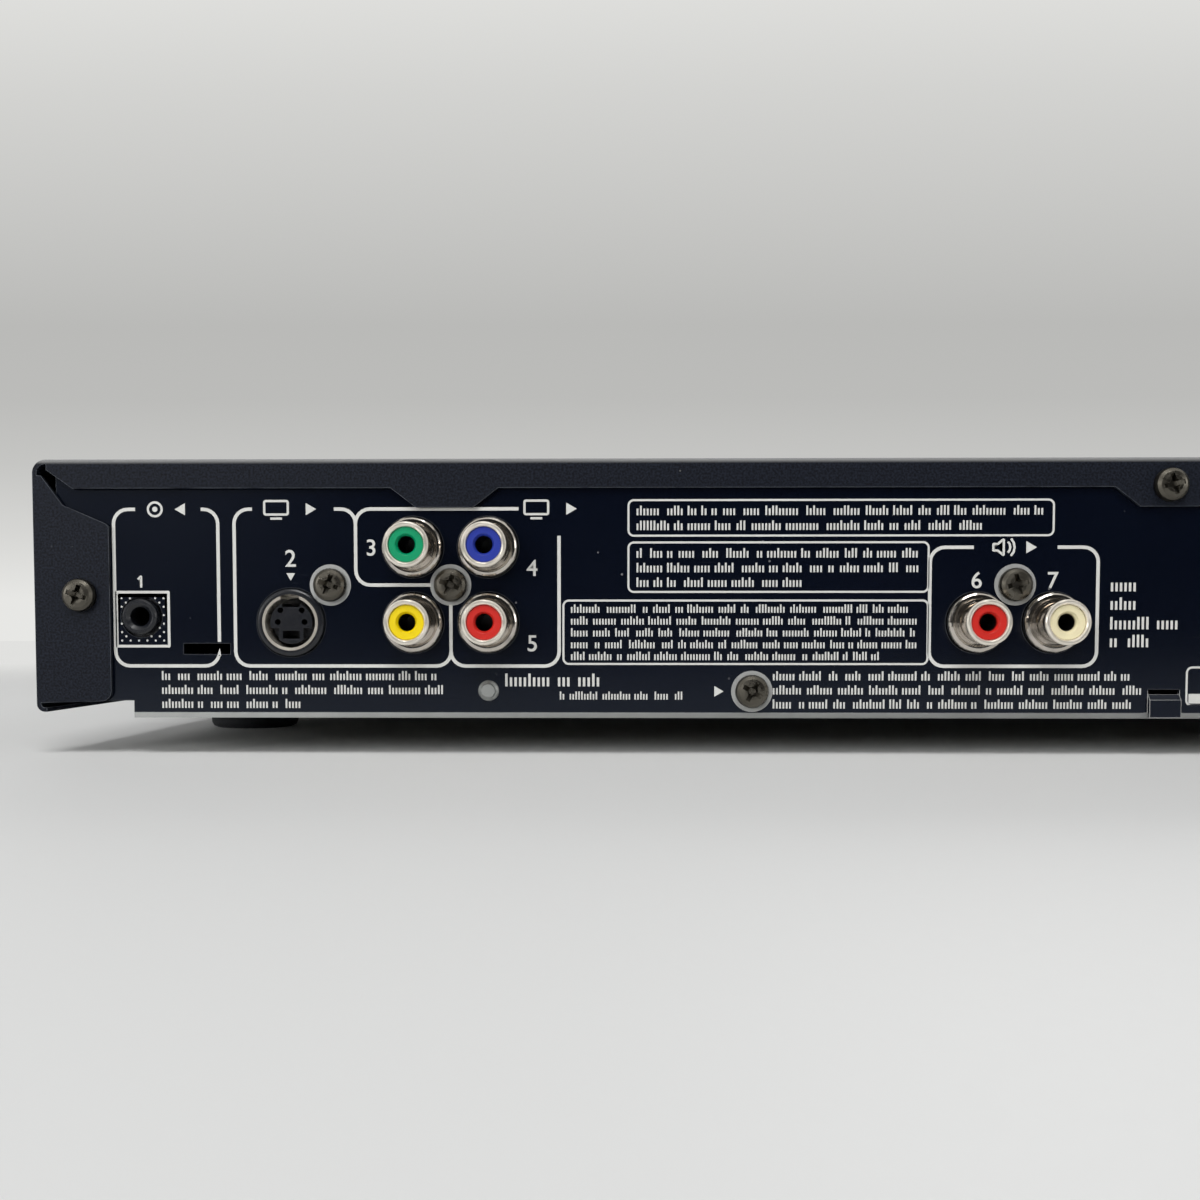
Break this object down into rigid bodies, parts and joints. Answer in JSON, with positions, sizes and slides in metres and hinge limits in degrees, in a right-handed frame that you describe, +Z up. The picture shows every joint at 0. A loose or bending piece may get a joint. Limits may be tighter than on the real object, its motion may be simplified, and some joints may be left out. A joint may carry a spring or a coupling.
{
  "type": "dvd player",
  "caption": "Slim disc player with a motorised front tray, front keys and display window, and rear phono, round video, control and mains sockets.",
  "frame": {"origin": "on the ground plane under the middle of the whole player, feet down", "axes": "+X to the right seen from the front, -Y out of the front, +Y out of the rear sockets, +Z up"},
  "size_m": [0.42, 0.278, 0.055],
  "materials": {
    "cover_paint": "fine textured charcoal paint",
    "screen_ink": "screen-printed pale grey",
    "screw_nickel": "dark nickel plate",
    "zinc_steel": "bare zinc-coated sheet",
    "foot_rubber": "matt black",
    "panel_paint": "satin near-black paint",
    "front_plastic": "satin black moulding",
    "smoked_window": "smoked acrylic",
    "red_lens": "clear red",
    "key_plastic": "satin grey-black",
    "tray_plastic": "fine spark-eroded black",
    "loader_plastic": "moulded dark grey",
    "bridge_steel": "plated sheet",
    "white_plastic": "natural acetal",
    "motor_steel": "plated can",
    "brass": "turned",
    "belt_rubber": "black rubber",
    "turntable_plastic": "dark moulding",
    "ground_steel": "ground steel",
    "pickup_metal": "dark die casting",
    "lens_glass": "coated lens in its holder",
    "board_green": "solder resist",
    "chip_black": "moulded packages",
    "board_brown": "bare board",
    "transformer_core": "core and winding",
    "heatsink_aluminium": "extruded",
    "tube_glass": "display glass",
    "ribbon_white": "flat cable",
    "screw_zinc": "zinc plate",
    "socket_black": "moulded black",
    "socket_nickel": "nickel plate",
    "insert_green": "moulded green",
    "insert_blue": "moulded blue",
    "insert_red": "moulded red",
    "insert_yellow": "moulded yellow",
    "insert_white": "moulded cream white",
    "insert_orange": "moulded orange"
  },
  "bodies": {
    "case": {"top_cover": "cover_paint", "cover_screws": "screw_nickel", "base_chassis": "zinc_steel", "feet": "foot_rubber", "rear_panel": "panel_paint", "panel_screws": "screw_nickel", "front_panel": "front_plastic", "display_window": "smoked_window", "standby_lens": "red_lens", "loader_frame": "loader_plastic", "clamper_bridge": "bridge_steel", "loading_motor": "motor_steel", "loading_belt": "belt_rubber", "main_board": "board_green", "main_board_parts": "chip_black", "power_board": "board_brown", "transformer": "transformer_core", "heatsink": "heatsink_aluminium", "front_board": "board_green", "display_tube": "tube_glass", "ribbon_cables": "ribbon_white", "inner_screws": "screw_zinc", "control_jack": "socket_black", "svideo_socket": "socket_black", "svideo_shell": "socket_nickel", "video_jack_block": "socket_black", "audio_jack_block": "socket_black", "digital_jack_block": "socket_black", "phono_sleeves": "socket_nickel", "insert_green": "insert_green", "insert_blue": "insert_blue", "inserts_red": "insert_red", "insert_yellow": "insert_yellow", "insert_white": "insert_white", "insert_orange": "insert_orange", "mains_inlet": "socket_black"},
    "tray": {"tray": "tray_plastic", "tray_front": "front_plastic"},
    "drive_gear": {"drive_gear": "white_plastic"},
    "pulley_gear": {"pulley_gear": "white_plastic"},
    "motor_pulley": {"motor_pulley": "brass"},
    "cam_slider": {"cam_slider": "white_plastic"},
    "deck": {"deck_cradle": "loader_plastic", "traverse_chassis": "bridge_steel", "deck_dampers": "belt_rubber", "spindle_motor": "motor_steel", "guide_rods": "ground_steel", "sled_motor": "motor_steel"},
    "turntable": {"turntable": "turntable_plastic"},
    "clamper": {"clamper": "white_plastic"},
    "pickup": {"pickup": "pickup_metal"},
    "objective_lens": {"objective_lens": "lens_glass"},
    "lead_screw": {"lead_screw": "ground_steel"},
    "power_button": {"power_button": "key_plastic"},
    "open_close_button": {"open_close_button": "key_plastic"},
    "play_button": {"play_button": "key_plastic"},
    "pause_button": {"pause_button": "key_plastic"},
    "stop_button": {"stop_button": "key_plastic"},
    "skip_back_button": {"skip_back_button": "key_plastic"},
    "skip_forward_button": {"skip_forward_button": "key_plastic"}
  },
  "joints": [
    {"name": "tray_slide", "type": "slide", "parent": "case", "child": "tray", "axis": [0, -1, 0], "range_m": [0, 0.132]},
    {"name": "drive_gear_spin", "type": "hinge", "parent": "case", "child": "drive_gear", "pos_m": [-0.0519, -0.108, 0.0264], "axis": [0, 0, 1], "range_deg": [0, 1082.6]},
    {"name": "pulley_gear_spin", "type": "hinge", "parent": "case", "child": "pulley_gear", "pos_m": [-0.03094, -0.11362, 0.023], "axis": [0, 0, 1], "range_deg": [-3093.13, 0]},
    {"name": "motor_pulley_spin", "type": "hinge", "parent": "case", "child": "motor_pulley", "pos_m": [-0.00094, -0.1156, 0.023], "axis": [0, 0, 1], "range_deg": [-10310.43, 0]},
    {"name": "deck_tilt", "type": "hinge", "parent": "case", "child": "deck", "pos_m": [0, 0.019, 0.023], "axis": [1, 0, 0], "range_deg": [0, 5.2]},
    {"name": "cam_slide", "type": "slide", "parent": "case", "child": "cam_slider", "axis": [1, 0, 0], "range_m": [0, 0.03002]},
    {"name": "turntable_spin", "type": "hinge", "parent": "deck", "child": "turntable", "pos_m": [0, -0.069, 0.0392], "axis": [0, 0, 1], "continuous": true},
    {"name": "clamper_spin", "type": "hinge", "parent": "case", "child": "clamper", "pos_m": [0, -0.069, 0.0444], "axis": [0, 0, 1], "continuous": true},
    {"name": "pickup_slide", "type": "slide", "parent": "deck", "child": "pickup", "axis": [0, 1, 0], "range_m": [0, 0.035]},
    {"name": "lead_screw_spin", "type": "hinge", "parent": "deck", "child": "lead_screw", "pos_m": [0.033, 0, 0.0205], "axis": [0, 1, 0], "range_deg": [0, 4208.4]},
    {"name": "lens_focus", "type": "slide", "parent": "pickup", "child": "objective_lens", "axis": [0, 0, 1], "range_m": [-0.0005, 0.0005], "stiffness_N_per_m": 30},
    {"name": "power_press", "type": "slide", "parent": "case", "child": "power_button", "axis": [0, 1, 0], "range_m": [0, 0.0008], "stiffness_N_per_m": 500},
    {"name": "open_close_press", "type": "slide", "parent": "case", "child": "open_close_button", "axis": [0, 1, 0], "range_m": [0, 0.0008], "stiffness_N_per_m": 500},
    {"name": "play_press", "type": "slide", "parent": "case", "child": "play_button", "axis": [0, 1, 0], "range_m": [0, 0.0008], "stiffness_N_per_m": 500},
    {"name": "pause_press", "type": "slide", "parent": "case", "child": "pause_button", "axis": [0, 1, 0], "range_m": [0, 0.0008], "stiffness_N_per_m": 500},
    {"name": "stop_press", "type": "slide", "parent": "case", "child": "stop_button", "axis": [0, 1, 0], "range_m": [0, 0.0008], "stiffness_N_per_m": 500},
    {"name": "skip_back_press", "type": "slide", "parent": "case", "child": "skip_back_button", "axis": [0, 1, 0], "range_m": [0, 0.0008], "stiffness_N_per_m": 500},
    {"name": "skip_forward_press", "type": "slide", "parent": "case", "child": "skip_forward_button", "axis": [0, 1, 0], "range_m": [0, 0.0008], "stiffness_N_per_m": 500}
  ],
  "couplings": [
    {"joint": "drive_gear_spin", "follows": "tray_slide", "rad_per_m": 142.86},
    {"joint": "pulley_gear_spin", "follows": "tray_slide", "rad_per_m": -408.16},
    {"joint": "motor_pulley_spin", "follows": "tray_slide", "rad_per_m": -1360.5},
    {"joint": "cam_slide", "follows": "deck_tilt", "m_per_rad": 0.33055},
    {"joint": "clamper_spin", "follows": "turntable_spin", "ratio": 1},
    {"joint": "lead_screw_spin", "follows": "pickup_slide", "rad_per_m": 2094.4}
  ]
}
